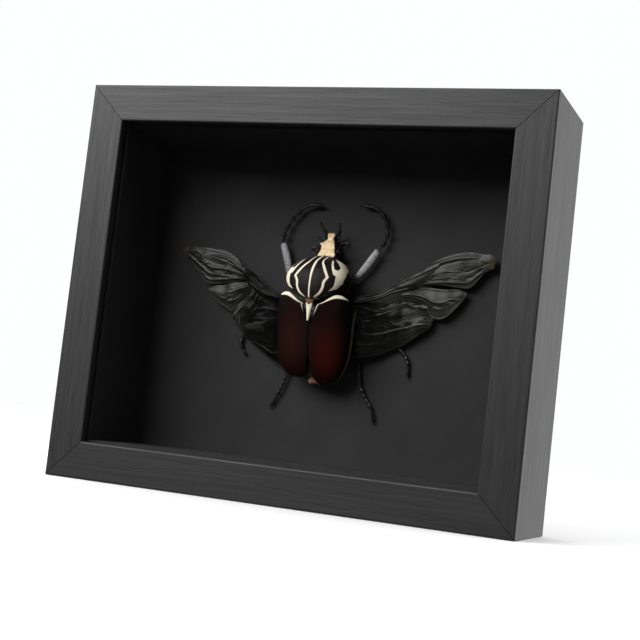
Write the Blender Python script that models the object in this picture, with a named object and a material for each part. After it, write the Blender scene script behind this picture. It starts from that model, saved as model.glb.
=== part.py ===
"""A goliath beetle with its hind wings spread, in a deep black box frame with a glass front.

X runs along the frame's width, Z up, and the glass faces -Y. The origin is the centre of the
underside. Frame sizes are in metres. The beetle's are in millimetres, as (x, z, h): x and z are
measured from the middle of the board it lies on, and h is the height above that board.
"""

import math

import bmesh
import bpy
import numpy as np

# Driving dimensions, in metres.
FRAME_WIDTH = 0.300
FRAME_HEIGHT = 0.250
FRAME_DEPTH = 0.0735
BAR_FACE = 0.0232          # width of a bar's front face
REBATE = 0.004             # step behind the lip, where the glass and the backing lie
LIP = 0.005                # thickness of the lip in front of the glass
ARRIS = 0.0010             # radius of the bars' rounded front edges
GLASS = 0.002
LINER = 0.005              # foam board that lines the walls
BOARD_FACE = 0.0683        # depth of the board's face behind the frame's front
BOARD = 0.0018
COVER = 0.0024
GAP = 0.0003               # clearance between neighbouring pieces
EASE = 0.0004              # extra clearance of loose panels in the rebate

# Fittings on the back.
FITTING = 0.0008           # sheet thickness of the hanger and the turn buttons
HEAD_HEIGHT = 0.0009
HEAD_RADIUS = 0.0025
SHANK_RADIUS = 0.0011
SHANK_LENGTH = 0.008
HOLE_RADIUS = 0.0015
HANGER_LENGTH = 0.046
HANGER_HEIGHT = 0.009
HANGER_TEETH = 9
BUTTON_LENGTH = 0.022
BUTTON_WIDTH = 0.008

MM = 0.001
WALL = BAR_FACE - REBATE
PROUD = 2 * GAP + FITTING + HEAD_HEIGHT      # how far the screw heads stand behind the back
FRONT_Y = -(FRAME_DEPTH + PROUD) / 2
CENTRE_Z = FRAME_HEIGHT / 2


# ---------------------------------------------------------------- materials and meshes

def make_material(name, colour, roughness, metallic=0.0):
    """A Principled material with one colour, roughness and metallic value."""
    material = bpy.data.materials.new(name)
    material.use_nodes = True
    shader = material.node_tree.nodes["Principled BSDF"]
    shader.inputs["Base Color"].default_value = (*colour, 1.0)
    shader.inputs["Roughness"].default_value = roughness
    shader.inputs["Metallic"].default_value = metallic
    material.diffuse_color = (*colour, 1.0)
    return material


MATERIALS = {
    "stained_wood": make_material("stained_wood", (0.045, 0.045, 0.047), 0.55),
    "glass": make_material("glass", (0.9, 0.92, 0.92), 0.05),
    "black_card": make_material("black_card", (0.02, 0.02, 0.021), 0.9),
    "hardboard": make_material("hardboard", (0.21, 0.12, 0.06), 0.8),
    "zinc_steel": make_material("zinc_steel", (0.55, 0.54, 0.5), 0.4, 1.0),
    "pronotum": make_material("pronotum", (0.05, 0.035, 0.03), 0.5),
    "cream": make_material("cream", (0.78, 0.7, 0.5), 0.6),
    "elytra": make_material("elytra", (0.09, 0.015, 0.01), 0.45),
    "black_chitin": make_material("black_chitin", (0.02, 0.018, 0.018), 0.3),
    "wing_membrane": make_material("wing_membrane", (0.12, 0.11, 0.1), 0.4),
}


def add_object(name, mesh, material):
    """Put a finished mesh into the scene as one named piece, with its faces pointing out."""
    shape = bmesh.new()
    shape.from_mesh(mesh)
    bmesh.ops.recalc_face_normals(shape, faces=shape.faces)
    shape.to_mesh(mesh)
    shape.free()
    mesh.materials.append(MATERIALS[material])
    mesh.shade_smooth()
    mesh.set_sharp_from_angle(angle=math.radians(35))
    piece = bpy.data.objects.new(name, mesh)
    bpy.context.scene.collection.objects.link(piece)
    return piece


def skin(name, rings, material):
    """A closed solid through a row of rings that have the same number of points."""
    rings = np.asarray(rings, dtype=float)
    ring_count, point_count = rings.shape[:2]
    faces = [tuple(range(point_count))]
    for ring in range(ring_count - 1):
        for point in range(point_count):
            following = (point + 1) % point_count
            faces.append((ring * point_count + point, ring * point_count + following,
                          (ring + 1) * point_count + following, (ring + 1) * point_count + point))
    last = (ring_count - 1) * point_count
    faces.append(tuple(range(last + point_count - 1, last - 1, -1)))
    mesh = bpy.data.meshes.new(name)
    mesh.from_pydata(rings.reshape(-1, 3).tolist(), [], faces)
    return add_object(name, mesh, material)


def circle(radius, sides):
    """Points round a circle, as two arrays."""
    angle = np.linspace(0, 2 * math.pi, sides, endpoint=False)
    return radius * np.cos(angle), radius * np.sin(angle)


# ---------------------------------------------------------------- frame

def bar_profile():
    """Cross-section of a bar, as (distance in from the outer edge, depth behind the front)."""
    turn = np.radians([0, 30, 60, 90])
    outer_arris = [(ARRIS * (1 - math.cos(a)), ARRIS * (1 - math.sin(a))) for a in turn]
    inner_arris = [(BAR_FACE - ARRIS * (1 - math.sin(a)), ARRIS * (1 - math.cos(a))) for a in turn]
    back = [(BAR_FACE, LIP), (WALL, LIP), (WALL, FRAME_DEPTH), (0.0, FRAME_DEPTH)]
    return outer_arris + inner_arris + back


def make_bar(side):
    """One mitred bar: the profile carried along the side, with both ends cut at 45 degrees."""
    upright = side in ("left", "right")
    half_length = (FRAME_HEIGHT if upright else FRAME_WIDTH) / 2
    mitre_gap = GAP / math.sqrt(2)
    rings = []
    for end in (-1, 1):
        ring = []
        for inward, depth in bar_profile():
            along = end * (half_length - inward - mitre_gap)
            across = (FRAME_WIDTH if upright else FRAME_HEIGHT) / 2 - inward
            across = -across if side in ("left", "bottom") else across
            x, z = (across, along) if upright else (along, across)
            ring.append((x, FRONT_Y + depth, CENTRE_Z + z))
        rings.append(ring)
    return skin(f"frame_{side}_bar", rings, "stained_wood")


def make_panel(name, half_width, half_height, depths, material, centre=(0.0, 0.0)):
    """A flat rectangular panel between two depths behind the frame's front."""
    x, z = centre
    corners = [(-1, -1), (1, -1), (1, 1), (-1, 1)]
    rings = [[(x + i * half_width, FRONT_Y + depth, CENTRE_Z + z + j * half_height) for i, j in corners]
             for depth in depths]
    return skin(name, rings, material)


def make_panels():
    """The glass, the four liners, the board and the rear cover, from front to back."""
    half_width = FRAME_WIDTH / 2 - WALL - EASE
    half_height = FRAME_HEIGHT / 2 - WALL - EASE
    glass_back = LIP + GAP + GLASS
    make_panel("glass_pane", half_width, half_height, (LIP + GAP, glass_back), "glass")

    depths = (glass_back + GAP, BOARD_FACE - GAP)
    for name, way in (("top", 1), ("bottom", -1)):
        centre = (0.0, way * (half_height - LINER / 2))
        make_panel(f"spacer_{name}", half_width, LINER / 2, depths, "black_card", centre)
    for name, way in (("left", -1), ("right", 1)):
        centre = (way * (half_width - LINER / 2), 0.0)
        make_panel(f"spacer_{name}", LINER / 2, half_height - LINER - GAP, depths, "black_card", centre)

    board_back = BOARD_FACE + BOARD
    make_panel("backing_board", half_width, half_height, (BOARD_FACE, board_back), "black_card")
    cover_front = board_back + GAP
    make_panel("rear_cover", half_width, half_height, (cover_front, cover_front + COVER), "hardboard")


# ---------------------------------------------------------------- fittings on the back

def make_screw(name, x, z):
    """A pan-head screw that points forward into a bar, and the cutter for its hole."""
    head_front = FRAME_DEPTH + 2 * GAP + FITTING
    tip_radius = SHANK_RADIUS / 3
    stations = [(head_front + HEAD_HEIGHT, HEAD_RADIUS * 0.7), (head_front + HEAD_HEIGHT / 2, HEAD_RADIUS),
                (head_front, HEAD_RADIUS), (head_front, SHANK_RADIUS),
                (head_front - SHANK_LENGTH * 0.75, SHANK_RADIUS), (head_front - SHANK_LENGTH, tip_radius)]
    rings = []
    for depth, radius in stations:
        across, up = circle(radius, 12)
        rings.append(np.stack([x + across, np.full(12, FRONT_Y + depth), CENTRE_Z + z + up], axis=1))
    skin(name, rings, "zinc_steel")

    across, up = circle(HOLE_RADIUS, 12)
    rings = [np.stack([x + across, np.full(12, FRONT_Y + depth), CENTRE_Z + z + up], axis=1)
             for depth in (head_front - SHANK_LENGTH - GAP, head_front + HEAD_HEIGHT)]
    cutter = skin(name + "_hole", rings, "zinc_steel")
    cutter.hide_render = True
    cutter.display_type = "WIRE"
    return cutter


def drill(piece, cutter):
    """Cut one screw's hole through a piece."""
    modifier = piece.modifiers.new(cutter.name, "BOOLEAN")
    modifier.operation = "DIFFERENCE"
    modifier.object = cutter


def make_sheet_fitting(name, outline):
    """A flat sheet-metal fitting on the frame's back, from its outline in x and z."""
    depths = (FRAME_DEPTH + GAP, FRAME_DEPTH + GAP + FITTING)
    rings = [[(x, FRONT_Y + depth, CENTRE_Z + z) for x, z in outline] for depth in depths]
    return skin(name, rings, "zinc_steel")


def make_hanger(top_bar):
    """The sawtooth hanger on the middle of the top bar, with its two screws."""
    middle = FRAME_HEIGHT / 2 - WALL / 2
    top = middle + HANGER_HEIGHT / 2
    bottom = middle - HANGER_HEIGHT / 2
    half = HANGER_LENGTH / 2
    pitch = HANGER_LENGTH * 0.6 / HANGER_TEETH
    outline = [(-half, bottom), (-half, top), (half, top), (half, bottom)]
    for tooth in range(HANGER_TEETH):
        right = HANGER_LENGTH * 0.3 - tooth * pitch
        outline += [(right, bottom), (right - pitch / 2, bottom + HANGER_HEIGHT * 0.22)]
    outline.append((-HANGER_LENGTH * 0.3, bottom))
    hanger = make_sheet_fitting("sawtooth_hanger", outline)
    for name, way in (("left", -1), ("right", 1)):
        cutter = make_screw(f"hanger_screw_{name}", way * (half - 0.0045), middle)
        drill(hanger, cutter)
        drill(top_bar, cutter)


def make_turn_button(side_bar, name, x, z):
    """A round-ended turn button, screwed to a side bar and reaching over the rear cover."""
    way = -1 if x > 0 else 1
    reach = way * (BUTTON_LENGTH - BUTTON_WIDTH)
    turn = np.linspace(math.pi / 2, 3 * math.pi / 2, 9)
    radius = BUTTON_WIDTH / 2
    near_end = [(x + way * radius * math.cos(a), z + radius * math.sin(a)) for a in turn]
    far_end = [(x + reach - way * radius * math.cos(a), z - radius * math.sin(a)) for a in turn]
    button = make_sheet_fitting(f"turn_button_{name}", near_end + far_end)
    cutter = make_screw(f"button_screw_{name}", x, z)
    drill(button, cutter)
    drill(side_bar, cutter)


def make_frame():
    """The four bars with everything that they hold, apart from the beetle."""
    bars = {side: make_bar(side) for side in ("top", "bottom", "left", "right")}
    make_panels()
    make_hanger(bars["top"])
    screw_x = FRAME_WIDTH / 2 - WALL * 0.55
    for side, way in (("left", -1), ("right", 1)):
        for level, up in (("upper", 1), ("lower", -1)):
            make_turn_button(bars[side], f"{level}_{side}", way * screw_x, up * FRAME_HEIGHT * 0.26)


# ---------------------------------------------------------------- beetle: body

def on_board(points):
    """Turn (x, z, h) in millimetres into world coordinates in metres."""
    points = np.asarray(points, dtype=float) * MM
    x, z, height = points[..., 0], points[..., 1], points[..., 2]
    return np.stack([x, FRONT_Y + BOARD_FACE - height, CENTRE_Z + z], axis=-1)


def body_ring(z, half_width, top, edge, bottom, sides=20):
    """A rounded cross-section of the body: wide at the edge height, crowned above and below it."""
    angle = np.linspace(0, 2 * math.pi, sides, endpoint=False)
    across, up = np.cos(angle), np.sin(angle)
    x = half_width * np.sign(across) * np.abs(across) ** 0.8
    rise = np.abs(up) ** 0.85
    height = np.where(up > 0, edge + (top - edge) * rise, edge - (edge - bottom) * rise)
    return np.stack([x, np.full(sides, float(z)), height], axis=1)


def make_body_part(name, stations, material):
    """A body part through stations of z, half width, top, edge and bottom height."""
    return skin(name, on_board([body_ring(*station) for station in stations]), material)


def make_core():
    """The pronotum, the thorax behind it, the abdomen, and the scutellum between the elytra."""
    make_body_part("pronotum", [
        (30.2, 6.0, 17.8, 14.5, 10.0), (28.5, 11.3, 22.5, 16.0, 9.0), (25.5, 15.8, 28.0, 17.5, 8.2),
        (21.0, 19.2, 32.3, 19.0, 8.0), (16.0, 20.8, 34.6, 20.0, 8.2), (11.5, 20.2, 35.2, 20.5, 9.5),
        (8.0, 18.0, 35.2, 21.0, 11.5), (5.0, 14.0, 34.8, 22.5, 14.0), (2.8, 8.2, 34.2, 24.0, 17.0)],
        "pronotum")
    make_body_part("thorax", [
        (2.0, 14.0, 21.0, 10.0, 4.0), (-3.0, 19.0, 24.0, 10.0, 1.2), (-10.0, 21.2, 24.0, 10.0, 0.3),
        (-17.0, 21.8, 22.5, 10.0, 0.3), (-22.0, 21.5, 20.5, 9.5, 1.0)], "black_chitin")
    make_body_part("abdomen", [
        (-22.4, 21.5, 20.2, 9.5, 1.2), (-28.0, 21.2, 20.0, 9.5, 1.5), (-34.0, 19.5, 19.0, 9.5, 2.2),
        (-40.0, 16.0, 17.0, 9.5, 3.5), (-45.0, 10.5, 14.5, 9.8, 5.5), (-47.5, 5.5, 12.8, 10.2, 7.5)],
        "black_chitin")
    outline = [(-4.2, 1.2, 31.9), (4.2, 1.2, 31.9), (0.35, -11.9, 29.2), (-0.35, -11.9, 29.2)]
    lower = [(x, z, height - 2.0) for x, z, height in outline]
    skin("scutellum", on_board([outline, lower]), "cream")


def make_head():
    """The head plate with its eyes: it slopes down to the front, where its forked horn turns up."""
    half_outline = [(0.0, 30.6), (4.6, 30.6), (6.2, 32.2), (8.0, 33.2), (8.2, 35.2), (6.6, 36.6),
                    (6.0, 38.2), (5.4, 39.8), (2.9, 41.4), (2.3, 43.0), (2.8, 45.2), (3.6, 46.4),
                    (7.3, 51.2), (7.0, 53.0), (5.6, 52.8), (1.2, 47.6), (0.0, 47.0)]
    outline = half_outline + [(-x, z) for x, z in half_outline[-2:0:-1]]
    back, fork, tip = 30.6, 46.4, 53.0
    rings = []
    for heights in ((15.0, 8.4, 12.4), (8.5, 5.4, 10.4)):
        rings.append([(x, z, np.interp(z, (back, fork, tip), heights)) for x, z in outline])
    skin("head", on_board(rings), "cream")


def make_elytron(name, way):
    """One wing case: a shell from the suture over to its outer edge, rounded at the rear."""
    thickness = 0.9
    #            z,   outer, inner, top, edge
    stations = [(0.0, 25.2, 5.3, 31.6, 14.0), (-2.5, 25.8, 4.4, 31.2, 13.4), (-6.0, 25.8, 3.1, 30.6, 13.0),
                (-10.5, 25.3, 1.3, 29.8, 13.0), (-14.0, 24.8, 0.35, 29.1, 13.0),
                (-20.0, 24.0, 0.35, 27.9, 13.0), (-26.0, 22.9, 0.4, 26.6, 13.0),
                (-32.0, 21.5, 0.6, 25.0, 12.8), (-38.0, 19.3, 1.2, 22.9, 12.6),
                (-43.0, 16.4, 2.2, 20.4, 12.6), (-46.5, 13.2, 3.4, 18.2, 12.8),
                (-48.8, 9.6, 5.4, 16.0, 13.4)]
    turn = np.linspace(0, math.pi / 2, 11)
    base_arch = np.interp(turn, np.radians([0, 15, 35, 50, 65, 90]), [-1.5, 0.6, 4.2, 5.0, 4.4, 1.0])
    rings = []
    for z, outer, inner, top, edge in stations:
        arch = base_arch * max(0.0, 1 + z / 20) ** 2
        over = np.sin(turn) ** 0.9
        rise = np.cos(turn) ** 0.55
        upper = np.stack([inner + (outer - inner) * over, z + arch, edge + (top - edge) * rise], axis=1)
        width = max(outer - inner - thickness, 0.5)
        lower = np.stack([inner + width * over, z + arch, edge + (top - thickness - edge) * rise], axis=1)
        ring = np.concatenate([upper, lower[::-1]])
        ring[:, 0] *= way
        rings.append(ring)
    skin(name, on_board(rings), "elytra")


# ---------------------------------------------------------------- beetle: wings, legs, antennae

LEFT_WING = [(-22.0, 4.0), (-33.5, 6.2), (-52.0, 18.8), (-62.0, 24.2), (-72.0, 31.0), (-82.5, 32.0),
             (-94.5, 32.6), (-105.5, 32.0), (-106.6, 30.6), (-99.0, 22.8), (-92.5, 17.8), (-84.5, 13.0),
             (-83.0, 6.6), (-73.5, -3.0), (-66.5, -6.8), (-62.0, -15.0), (-56.5, -21.5), (-50.0, -25.4),
             (-37.4, -33.2), (-26.0, -35.5), (-23.5, -15.0)]
RIGHT_WING = [(22.0, 4.0), (38.4, 13.5), (51.3, 21.8), (64.0, 30.8), (77.4, 37.2), (90.4, 39.9),
              (106.4, 38.4), (107.3, 35.4), (101.5, 29.0), (93.0, 18.2), (90.6, 12.5), (82.5, 5.0),
              (75.0, -1.6), (71.8, -2.0), (67.6, -10.0), (62.0, -14.2), (53.5, -20.8), (45.5, -24.4),
              (36.0, -29.0), (27.0, -31.0), (23.5, -15.0)]


def make_wing(name, outline):
    """A spread hind wing: a thin plate a little above the board."""
    rings = [[(x, z, height) for x, z in outline] for height in (5.6, 5.0)]
    skin(name, on_board(rings), "wing_membrane")


def make_tube(name, points, radii, material="black_chitin", sides=8):
    """A round limb through a few points, each with its own radius."""
    points = np.asarray(points, dtype=float)
    tangents = np.gradient(points, axis=0)
    tangents /= np.linalg.norm(tangents, axis=1, keepdims=True)
    away = np.array([0.0, 0.0, 1.0])
    side = np.cross(tangents, away)
    side /= np.linalg.norm(side, axis=1, keepdims=True)
    over = np.cross(side, tangents)
    across, up = circle(1.0, sides)
    rings = [point + radius * (across[:, None] * s + up[:, None] * o)
             for point, radius, s, o in zip(points, radii, side, over)]
    return skin(name, on_board(rings), material)


def shortened(start, end, cut_start, cut_end):
    """The straight run from start to end, less a length at each end."""
    start, end = np.asarray(start, dtype=float), np.asarray(end, dtype=float)
    way = (end - start) / np.linalg.norm(end - start)
    return np.array([start + way * cut_start, end - way * cut_end])


# Each leg's joints, from the body outwards: coxa, knee, heel, then points along the tarsus.
LEGS = {
    "front_left": [(-9.0, 13.0, 4.6), (-27.3, 19.0, 5.0), (-34.2, 39.0, 5.0), (-34.0, 45.0, 4.6),
                   (-32.0, 51.0, 4.4), (-26.8, 58.8, 4.2), (-20.0, 64.2, 4.2), (-11.0, 65.2, 4.0)],
    "front_right": [(8.0, 13.0, 4.6), (19.0, 20.0, 5.0), (31.2, 38.0, 5.0), (35.2, 44.0, 4.6),
                    (36.2, 50.6, 4.4), (33.8, 57.6, 4.2), (27.2, 64.2, 4.2), (18.2, 66.4, 4.0)],
    "middle_left": [(-19.4, -8.0, 2.4), (-38.0, -9.0, 2.4), (-56.0, -22.4, 2.2), (-57.2, -27.0, 2.0),
                    (-56.0, -31.0, 1.8), (-53.4, -34.6, 1.6)],
    "middle_right": [(19.4, -8.0, 2.4), (36.0, -10.0, 2.4), (50.2, -22.0, 2.2), (54.6, -25.6, 2.0),
                     (57.6, -31.0, 1.8), (58.4, -38.8, 1.6)],
    "hind_left": [(-20.0, -23.5, 2.4), (-21.4, -31.4, 2.4), (-22.4, -44.6, 2.8), (-24.0, -51.0, 2.6),
                  (-27.4, -59.4, 2.2), (-30.6, -66.0, 1.8)],
    "hind_right": [(19.2, -22.0, 2.6), (26.0, -31.0, 2.6), (28.6, -48.0, 2.8), (32.0, -54.4, 2.6),
                   (37.6, -62.4, 2.2), (39.2, -69.0, 1.8)],
}


def make_legs():
    """Three solids a leg: the femur, the tibia, and the beaded tarsus as one tapering tube."""
    joint_space = 1.1
    for name, joints in LEGS.items():
        thickness = 1.25 if name.startswith("front") else 1.0
        femur = shortened(joints[0], joints[1], 0.0, joint_space)
        make_tube(f"femur_{name}", femur, np.array([2.0, 1.4]) * thickness)
        tibia = shortened(joints[1], joints[2], joint_space, joint_space)
        make_tube(f"tibia_{name}", tibia, np.array([1.0, 1.5]) * thickness)
        foot = shortened(joints[2], joints[3], joint_space, 0.0)
        tarsus = np.concatenate([foot, joints[4:]])
        make_tube(f"tarsus_{name}", tarsus, np.linspace(0.9, 0.6, len(tarsus)), sides=6)


def make_antennae():
    """A short stalk with a club on each side of the head."""
    for name, way in (("left", -1), ("right", 1)):
        points = [(7.6, 39.4, 11.5), (9.6, 41.0, 11.6), (10.8, 40.6, 11.6), (13.0, 39.6, 11.5), (15.0, 38.8, 11.4)]
        points = np.array(points) * (way, 1, 1)
        make_tube(f"antenna_{name}", points, [0.6, 0.5, 0.6, 1.2, 0.7])


def make_beetle():
    """Every piece of the specimen."""
    make_core()
    make_head()
    make_elytron("elytron_left", -1)
    make_elytron("elytron_right", 1)
    make_wing("hindwing_left", LEFT_WING)
    make_wing("hindwing_right", RIGHT_WING)
    make_legs()
    make_antennae()


for old in list(bpy.data.objects):
    bpy.data.objects.remove(old, do_unlink=True)
make_frame()
make_beetle()
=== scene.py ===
import math

import bmesh
import bpy
import numpy as np
from mathutils import Matrix, Vector


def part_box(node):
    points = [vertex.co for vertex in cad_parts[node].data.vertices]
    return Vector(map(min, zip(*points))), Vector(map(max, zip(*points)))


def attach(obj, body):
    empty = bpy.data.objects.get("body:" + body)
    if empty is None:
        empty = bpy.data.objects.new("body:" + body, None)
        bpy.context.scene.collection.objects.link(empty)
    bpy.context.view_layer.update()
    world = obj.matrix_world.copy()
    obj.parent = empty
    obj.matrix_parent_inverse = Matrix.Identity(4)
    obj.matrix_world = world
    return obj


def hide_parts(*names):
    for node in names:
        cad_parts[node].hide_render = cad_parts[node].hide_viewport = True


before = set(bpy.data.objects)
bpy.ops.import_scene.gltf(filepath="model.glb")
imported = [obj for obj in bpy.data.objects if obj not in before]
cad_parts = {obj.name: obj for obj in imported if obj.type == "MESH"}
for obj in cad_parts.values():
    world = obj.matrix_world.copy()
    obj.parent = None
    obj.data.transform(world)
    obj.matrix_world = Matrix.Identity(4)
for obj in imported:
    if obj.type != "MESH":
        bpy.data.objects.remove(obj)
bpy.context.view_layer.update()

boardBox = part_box("backing_board")
boardFace = boardBox[0].y  # the beetle is set out from this face
middleHeight = (boardBox[0].z + boardBox[1].z) / 2
rng = np.random.default_rng(11)
millimetre = 0.001
weldDistance = 2e-6  # metres
rimReach = 0.8  # how far a sheet's rim stands out, in half thicknesses
markEdge = 0.12  # a mark fades in over this much either side of its line, in mm

# Beetle measures are in millimetres: x across the frame, z up it, both from the middle of the
# board, and then the height above the board.


def place(points):  # millimetres on the board, into metres in the frame
    points = np.asarray(points, float) * millimetre
    return np.stack([points[..., 0], boardFace - points[..., 2], middleHeight + points[..., 1]], axis=-1)


def unit(vectors):
    return vectors / np.maximum(np.linalg.norm(vectors, axis=-1, keepdims=True), 1e-9)


def step(low, high, value):  # 0 below low, 1 above high, and smooth between
    share = np.clip((value - low) / (high - low), 0, 1)
    return share * share * (3 - 2 * share)


def bell(value, centre, width):  # a smooth bump of height 1
    return np.exp(-((value - centre) / width) ** 2)


# A smooth curve through the knots: a cubic between each pair, whose slopes at the ends are those
# of the parabola through each knot and its two neighbours.
def through(knots, values, at):
    knots, values = np.asarray(knots, float), np.asarray(values, float)
    slopes = np.gradient(values, knots, axis=0)
    at = np.clip(at, knots[0], knots[-1])
    cell = np.clip(np.searchsorted(knots, at, side="right") - 1, 0, len(knots) - 2)
    gap = knots[cell + 1] - knots[cell]
    share = (at - knots[cell]) / gap
    if values.ndim > 1:
        share, gap = share[..., None], gap[..., None]
    return ((1 + 2 * share) * (1 - share) ** 2 * values[cell]
            + share * (1 - share) ** 2 * gap * slopes[cell]
            + share ** 2 * (3 - 2 * share) * values[cell + 1]
            + share ** 2 * (share - 1) * gap * slopes[cell + 1])


def smoothPath(points, count):  # a smooth curve, evenly spaced along its chords
    points = np.asarray(points, float)
    run = np.concatenate([[0], np.cumsum(np.linalg.norm(np.diff(points, axis=0), axis=1))])
    return through(run, points, np.linspace(0, run[-1], count))


# how each mesh is put together

def gridFaces(rows, columns, closed=False, start=0):  # quads between the neighbours of a grid
    wide = columns if closed else columns - 1
    row, column = np.meshgrid(np.arange(rows - 1), np.arange(wide), indexing="ij")
    following = (column + 1) % columns
    faces = np.stack([row * columns + column, row * columns + following,
                      (row + 1) * columns + following, (row + 1) * columns + column], axis=-1)
    return start + faces.reshape(-1, 4)


def solid(rings, values=None, finish=0):  # a closed skin through rings, drawn to a point at both ends
    rings = np.asarray(rings, float)
    ends = [np.repeat(ring.mean(axis=0, keepdims=True), rings.shape[1], axis=0)[None]
            for ring in (rings[0], rings[-1])]
    rings = np.concatenate([ends[0], rings, ends[1]])
    spread = {name: np.concatenate([value[:1], value, value[-1:]]).ravel()
              for name, value in (values or {}).items()}
    return {"points": rings.reshape(-1, 3), "faces": gridFaces(*rings.shape[:2], closed=True),
            "values": spread, "finish": finish}


# A sheet with a thickness: the grid pushed out both ways along its normals, and the two joined
# round the rim by an edge that stands out a little.
def shell(grid, thickness, values=None, finish=0):
    rows, columns = grid.shape[:2]
    normal = unit(np.cross(np.gradient(grid, axis=0), np.gradient(grid, axis=1)))
    half = np.broadcast_to(thickness, (rows, columns))[..., None] / 2
    index = np.arange(rows * columns).reshape(rows, columns)
    loop = np.concatenate([index[0, :-1], index[:-1, -1], index[-1, :0:-1], index[:0:-1, 0]])
    inside = np.concatenate([index[1, :-1], index[:-1, -2], index[-2, :0:-1], index[:0:-1, 1]])
    flat = grid.reshape(-1, 3)
    rim = flat[loop] + unit(flat[loop] - flat[inside]) * half.reshape(-1, 1)[loop] * rimReach
    count = rows * columns
    edge = 2 * count + np.arange(len(loop))
    nextEdge, nextLoop = np.roll(edge, -1), np.roll(loop, -1)
    faces = np.concatenate([
        gridFaces(rows, columns), gridFaces(rows, columns, start=count)[:, ::-1],
        np.stack([loop, nextLoop, nextEdge, edge], axis=1),
        np.stack([edge, nextEdge, count + nextLoop, count + loop], axis=1)])
    spread = {name: np.concatenate([value.ravel(), value.ravel(), value.ravel()[loop]])
              for name, value in (values or {}).items()}
    faceUp, faceDown = grid + normal * half, grid - normal * half
    points = np.concatenate([faceUp.reshape(-1, 3), faceDown.reshape(-1, 3), rim])
    return {"points": points, "faces": faces, "values": spread, "finish": finish}


# A limb: an ellipse carried along a path, its width lying in the board's plane.
def limb(path, width, height=None, sides=12, values=None, finish=0, up=(0, 0, 1)):
    path = np.asarray(path, float)
    width = np.broadcast_to(width, len(path))
    height = width if height is None else np.broadcast_to(height, len(path))
    tangent = unit(np.gradient(path, axis=0))
    side = unit(np.cross(tangent, up))
    over = np.cross(side, tangent)
    turn = np.linspace(0, 2 * math.pi, sides, endpoint=False)
    rings = (path[:, None] + (width[:, None] * np.cos(turn))[..., None] * side[:, None]
             + (height[:, None] * np.sin(turn))[..., None] * over[:, None])
    return solid(rings, values, finish)


def ball(centre, radii, rows=24, columns=32, finish=0):  # an ellipsoid, with its poles towards the glass
    down = np.linspace(0.02, math.pi - 0.02, rows)[:, None]
    turn = np.linspace(0, 2 * math.pi, columns, endpoint=False)
    shape = np.stack([np.sin(down) * np.cos(turn), np.sin(down) * np.sin(turn),
                      np.cos(down) * np.ones(columns)], axis=-1)
    return solid(np.asarray(centre) + shape * np.asarray(radii), finish=finish)


def hairs(roots, ways, length, width, finish=0):  # many thin three-sided spikes
    roots, ways = np.asarray(roots, float), unit(np.asarray(ways, float))
    side = unit(np.cross(ways, (0.3, 0.2, 0.9)))
    over = np.cross(side, ways)
    turn = np.radians([0, 120, 240])
    spread = np.cos(turn)[:, None] * side[:, None] + np.sin(turn)[:, None] * over[:, None]
    foot = roots[:, None] + width * spread
    tip = roots + ways * np.broadcast_to(length, len(roots))[:, None]
    points = np.concatenate([foot, tip[:, None]], axis=1)
    start = 4 * np.arange(len(roots))[:, None, None]
    faces = start + np.array([[0, 1, 3, 3], [1, 2, 3, 3], [2, 0, 3, 3], [0, 2, 1, 1]])
    return {"points": points.reshape(-1, 3), "faces": faces.reshape(-1, 4), "values": {}, "finish": finish}


def makePiece(name, parts, materials, replaces, angle=50):
    points = place(np.concatenate([part["points"] for part in parts]))
    starts = np.cumsum([0] + [len(part["points"]) for part in parts[:-1]])
    faces = np.concatenate([part["faces"] + start for part, start in zip(parts, starts)])
    finish = np.concatenate([np.full(len(part["faces"]), part["finish"]) for part in parts])
    loops = [face if face[2] != face[3] else face[:3] for face in faces.tolist()]
    mesh = bpy.data.meshes.new(name)
    mesh.from_pydata(points.tolist(), [], loops)
    for material in materials:
        mesh.materials.append(material)
    mesh.polygons.foreach_set("material_index", finish.astype(np.int32))
    for attribute in sorted({key for part in parts for key in part["values"]}):
        layer = mesh.attributes.new(attribute, "FLOAT", "POINT")
        layer.data.foreach_set("value", np.concatenate(
            [part["values"].get(attribute, np.zeros(len(part["points"]))) for part in parts]).astype(np.float32))
    shape = bmesh.new()
    shape.from_mesh(mesh)
    bmesh.ops.remove_doubles(shape, verts=shape.verts, dist=weldDistance)
    bmesh.ops.recalc_face_normals(shape, faces=shape.faces)
    shape.to_mesh(mesh)
    shape.free()
    mesh.shade_smooth()
    mesh.set_sharp_from_angle(angle=math.radians(angle))
    piece = bpy.data.objects.new(name, mesh)
    bpy.context.scene.collection.objects.link(piece)
    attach(piece, "root")
    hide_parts(*replaces)
    return piece


# the materials, one maker each

def addNode(tree, kind, inputs=None, **settings):
    node = tree.nodes.new("ShaderNode" + kind)
    for key, value in settings.items():
        setattr(node, key, value)
    for key, value in (inputs or {}).items():
        if isinstance(value, bpy.types.NodeSocket):
            tree.links.new(value, node.inputs[key])
        else:
            node.inputs[key].default_value = value
    return node


def newMaterial(name, sockets):  # a Principled surface with its uniform values set
    material = bpy.data.materials.new(name)
    material.use_nodes = True
    tree = material.node_tree
    surface = tree.nodes["Principled BSDF"]
    for key, value in sockets.items():
        surface.inputs[key].default_value = value
    return material, tree, surface


def placeAt(tree, scale=(1, 1, 1), turn=(0, 0, 0)):  # object coordinates, stretched and turned
    where = addNode(tree, "TexCoord").outputs["Object"]
    return addNode(tree, "Mapping", {"Vector": where, "Scale": scale, "Rotation": turn}).outputs[0]


def noise(tree, where, scale, detail=4.0, roughness=0.55, distortion=0.0):
    return addNode(tree, "TexNoise", {"Vector": where, "Scale": scale, "Detail": detail,
                                      "Roughness": roughness, "Distortion": distortion}).outputs[0]


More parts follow.
